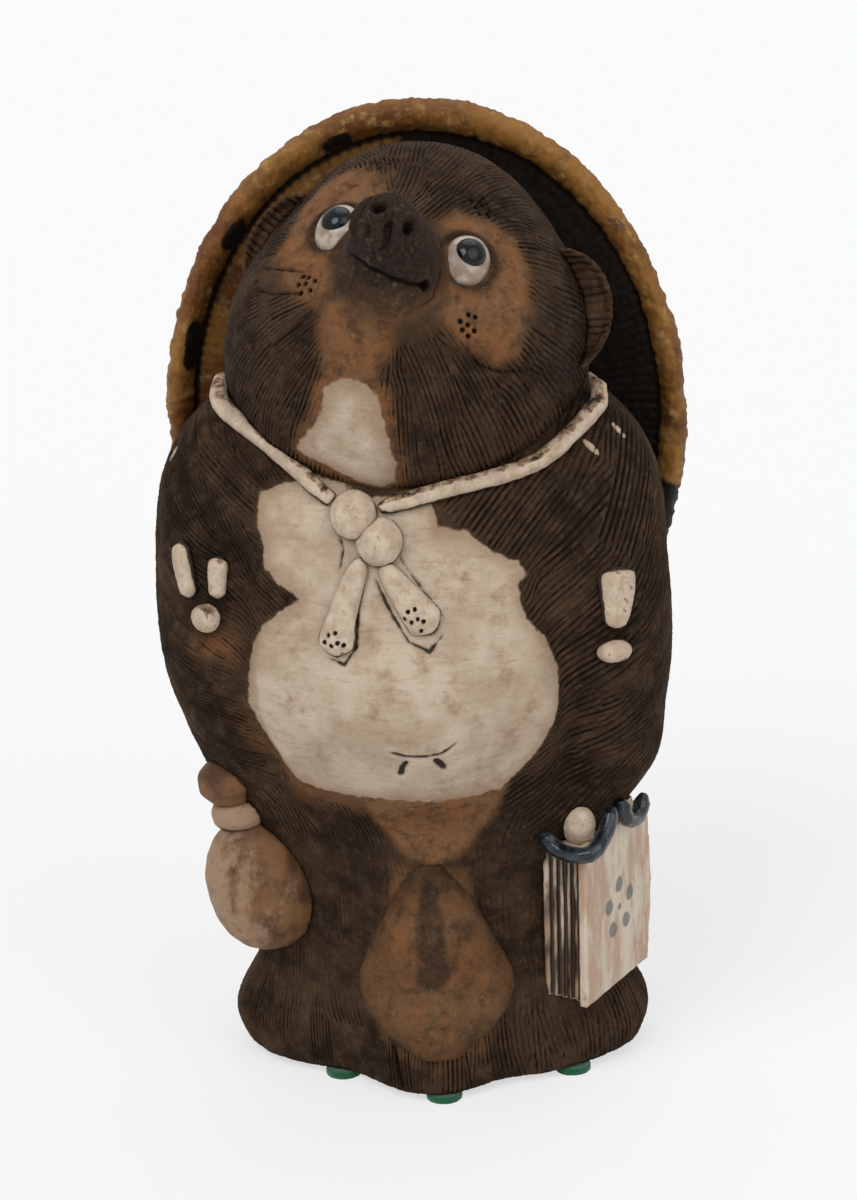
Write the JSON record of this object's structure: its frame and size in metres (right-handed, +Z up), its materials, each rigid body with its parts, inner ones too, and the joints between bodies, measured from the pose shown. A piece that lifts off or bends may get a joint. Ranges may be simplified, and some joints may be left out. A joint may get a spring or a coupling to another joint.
{
  "type": "tanuki statue",
  "caption": "Hand-formed stoneware raccoon-dog figure with a wide hat on its back, a flask, a ledger and felt pads under its hollow base.",
  "frame": {"origin": "middle of the bounding box at the undersides of the felt pads", "axes": "+Z up, the face and belly look along -Y, +X is the figure's left (the viewer's right)"},
  "size_m": [0.164, 0.1361, 0.2891],
  "materials": {
    "stoneware": "unglazed iron-washed stoneware with combed fur",
    "hat_glaze": "dry mottled ochre ash glaze",
    "cream_slip": "worn matt cream slip",
    "dark_slip": "smooth charcoal slip",
    "eye_white": "glossy off-white glaze",
    "eye_black": "glossy black glaze",
    "flask_clay": "burnished tan clay with cream wash",
    "ledger_slip": "cream glaze over dark grooves",
    "cord_glaze": "glossy blue-black glaze",
    "pouch_clay": "smooth tan clay",
    "felt": "green wool felt"
  },
  "bodies": {
    "root": {"body_front": "stoneware", "body_back": "stoneware", "head": "stoneware", "hat": "hat_glaze", "nose": "dark_slip", "eye_right": "eye_white", "eye_left": "eye_white", "pupil_right": "eye_black", "pupil_left": "eye_black", "ear_right": "stoneware", "ear_left": "stoneware", "knot_upper": "cream_slip", "knot_lower": "cream_slip", "hat_cord_right": "cream_slip", "hat_cord_left": "cream_slip", "cord_tail_right": "cream_slip", "cord_tail_left": "cream_slip", "right_paw_claws": "cream_slip", "right_paw_thumb": "cream_slip", "left_paw_claws": "cream_slip", "left_paw_thumb": "cream_slip", "flask_body": "flask_clay", "flask_band": "cream_slip", "flask_stopper": "flask_clay", "ledger_leaves": "ledger_slip", "ledger_cover": "ledger_slip", "ledger_knots": "cream_slip", "ledger_cord": "cord_glaze", "pouch": "pouch_clay", "tail": "stoneware", "felt_pads": "felt"}
  },
  "joints": []
}
